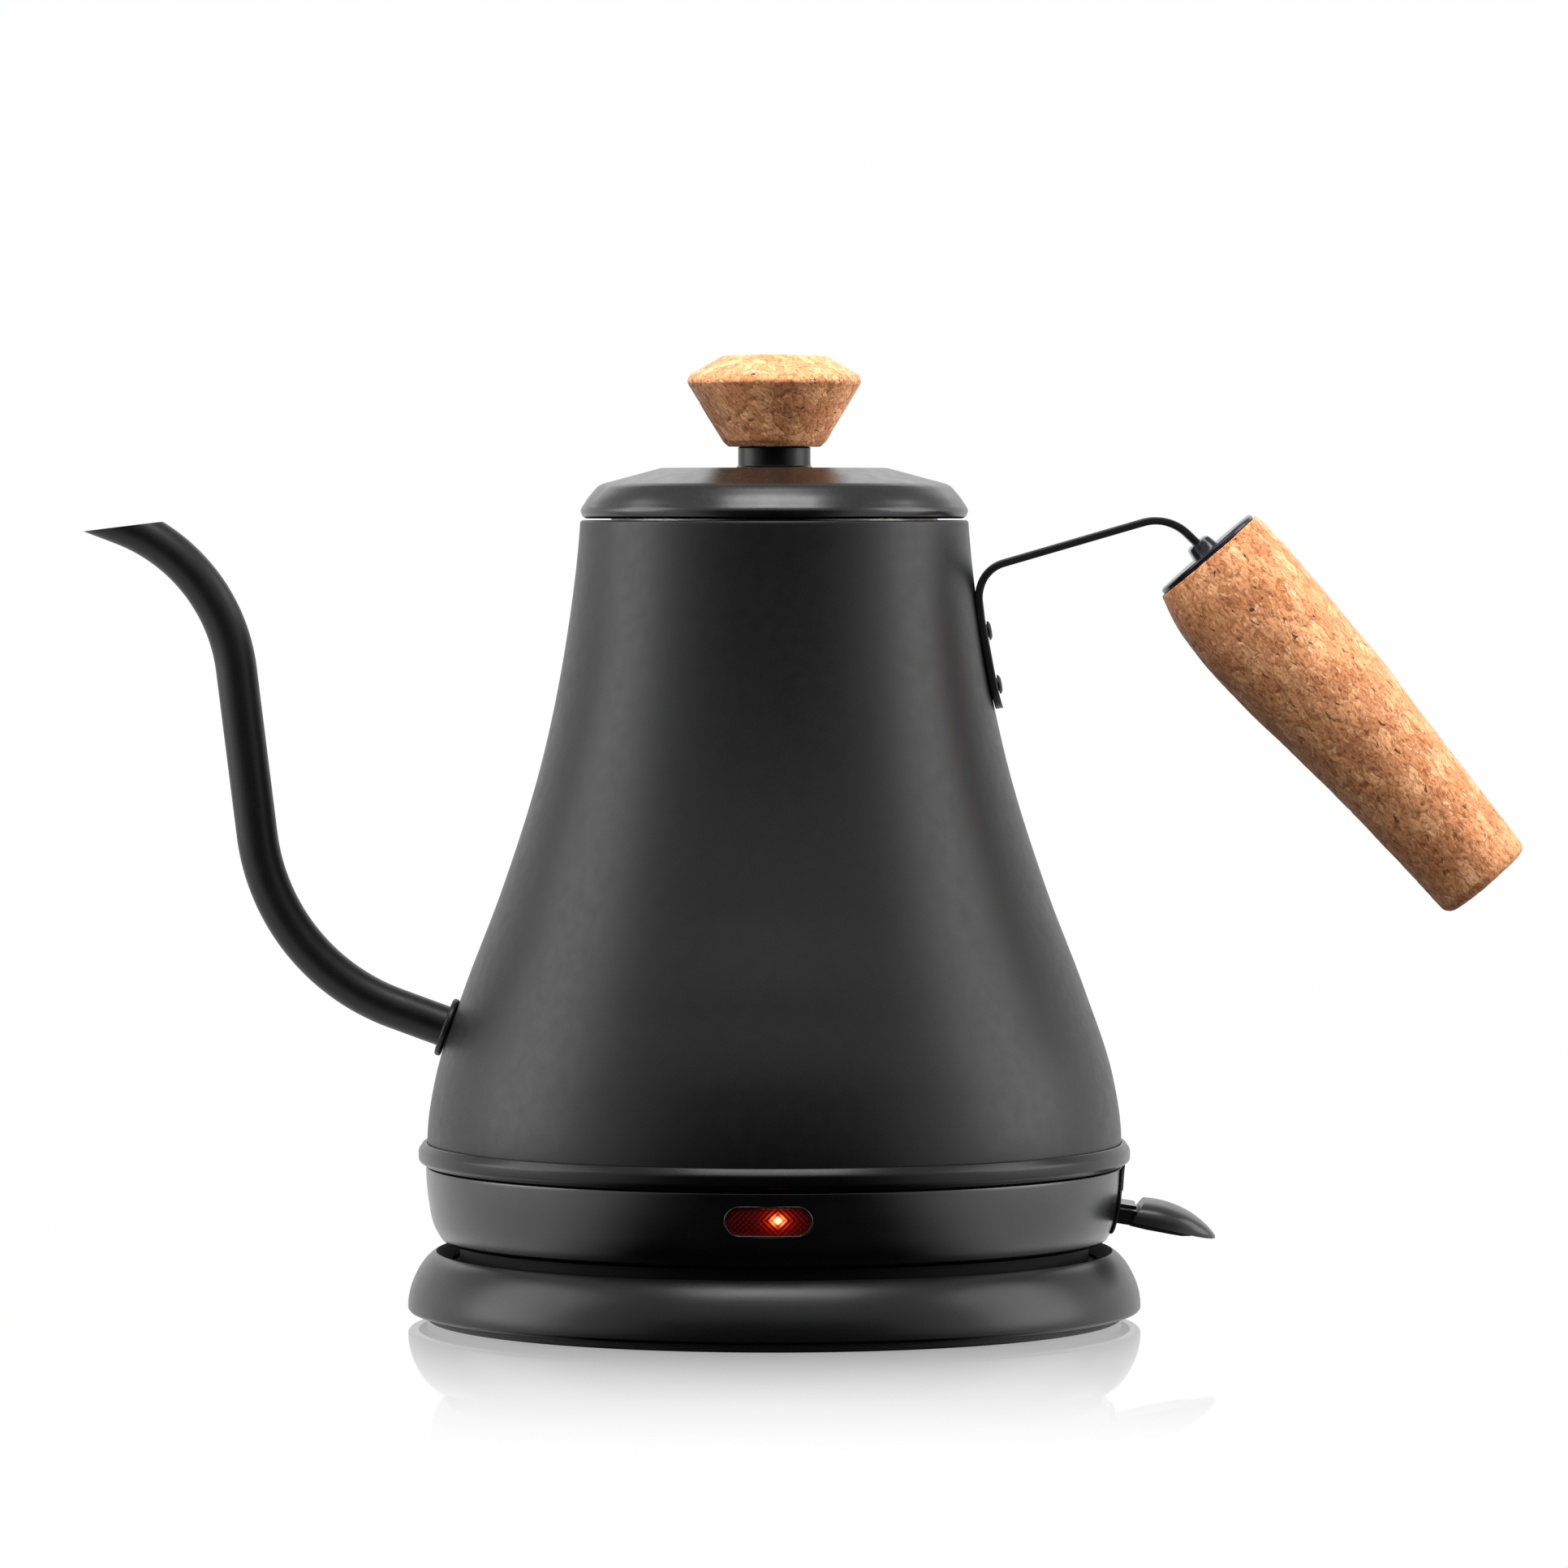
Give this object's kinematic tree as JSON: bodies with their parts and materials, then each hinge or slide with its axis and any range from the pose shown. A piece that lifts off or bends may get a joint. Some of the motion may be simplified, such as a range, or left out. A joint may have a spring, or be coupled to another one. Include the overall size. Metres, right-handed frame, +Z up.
{
  "type": "gooseneck kettle",
  "caption": "Electric gooseneck kettle with a flared body, slim curved spout, angled cork grip, cork lid knob, lever switch and pilot lamp, standing on a round cordless power base.",
  "frame": {"origin": "centre of the power base's underside, on the kettle's upright axis, where it stands on the table", "axes": "+Z up along the kettle's axis, -X towards the spout, +X towards the handle and the switch lever, -Y towards the pilot lamp, +Y towards the cord inlet"},
  "size_m": [0.2978, 0.1532, 0.1998],
  "materials": {
    "black_coat": "matte powder coat with a faint grain",
    "base_plastic": "matte black moulding",
    "housing_plastic": "satin black moulding",
    "dark_plastic": "black moulding, hidden",
    "phenolic": "heat-resisting moulding",
    "rubber": "matte black rubber",
    "silicone": "translucent grey silicone",
    "steel": "brushed stainless steel",
    "steel_fine": "plated steel",
    "bimetal": "bimetal strip",
    "aluminium": "cast aluminium",
    "brass": "plain brass",
    "cork": "agglomerated cork, waxed",
    "cap_gloss": "smooth glossy black",
    "lamp_red": "red prismatic lens",
    "lamp_glass": "small neon bulb",
    "lever_black": "satin black moulding",
    "lever_grey": "grey satin cap",
    "wire_red": "silicone-sleeved wire"
  },
  "bodies": {
    "base": {"base_cover": "base_plastic", "base_plate": "dark_plastic", "foot_ring": "rubber", "cord_gland": "rubber", "base_screws": "steel_fine", "base_connector": "phenolic", "connector_rings": "brass", "connector_earth": "brass", "connector_tabs": "brass"},
    "coupler": {"kettle_socket": "phenolic", "socket_blade": "brass", "socket_pin": "brass"},
    "kettle": {"body_shell": "black_coat", "kettle_floor": "steel", "heat_plate": "aluminium", "heating_element": "steel", "element_terminals": "steel_fine", "control_unit": "phenolic", "snap_discs": "bimetal", "steam_tube": "steel", "steam_tube_seal": "silicone", "spout_tube": "black_coat", "spout_flange": "black_coat", "trim_ring": "housing_plastic", "lower_housing": "housing_plastic", "bottom_cover": "dark_plastic", "cover_screws": "steel_fine", "lamp_bezel": "housing_plastic", "lamp_lens": "lamp_red", "lamp_holder": "dark_plastic", "lamp_bulb": "lamp_glass", "lamp_leads": "wire_red", "lever_escutcheon": "lever_black", "lever_bracket": "steel", "lever_pivot_pin": "steel_fine", "over_centre_spring": "steel_fine", "handle_strap": "black_coat", "strap_rivets": "steel_fine", "handle_end_cap": "cap_gloss", "grip_core": "aluminium", "tang_pin": "steel_fine", "cork_grip": "cork"},
    "lid_seal": {"lid_gasket": "silicone"},
    "lid": {"lid_shell": "black_coat", "lid_cup": "steel", "lid_stem": "black_coat", "knob_insert": "brass", "lid_knob": "cork", "knob_screw": "steel_fine"},
    "lever": {"switch_lever": "lever_black", "lever_paddle": "lever_grey"},
    "plunger": {"trip_plunger": "phenolic"}
  },
  "joints": [
    {"name": "kettle_lift", "type": "slide", "parent": "base", "child": "coupler", "axis": [0, 0, 1], "range_m": [0, 0.12]},
    {"name": "kettle_swivel", "type": "hinge", "parent": "coupler", "child": "kettle", "pos_m": [0, 0, 0.02], "axis": [0, 0, 1], "continuous": true},
    {"name": "lid_lift", "type": "slide", "parent": "kettle", "child": "lid_seal", "axis": [0, 0, 1], "range_m": [0, 0.08]},
    {"name": "lid_turn", "type": "hinge", "parent": "lid_seal", "child": "lid", "pos_m": [0, 0, 0.17], "axis": [0, 0, 1], "continuous": true},
    {"name": "lever_tilt", "type": "hinge", "parent": "kettle", "child": "lever", "pos_m": [0.0635, 0, 0.0228], "axis": [0, -1, 0], "range_deg": [0, 13]},
    {"name": "plunger_drop", "type": "slide", "parent": "kettle", "child": "plunger", "axis": [0, 0, -1], "range_m": [0, 0.0019]}
  ],
  "couplings": [
    {"joint": "plunger_drop", "follows": "lever_tilt", "m_per_rad": 0.008}
  ]
}
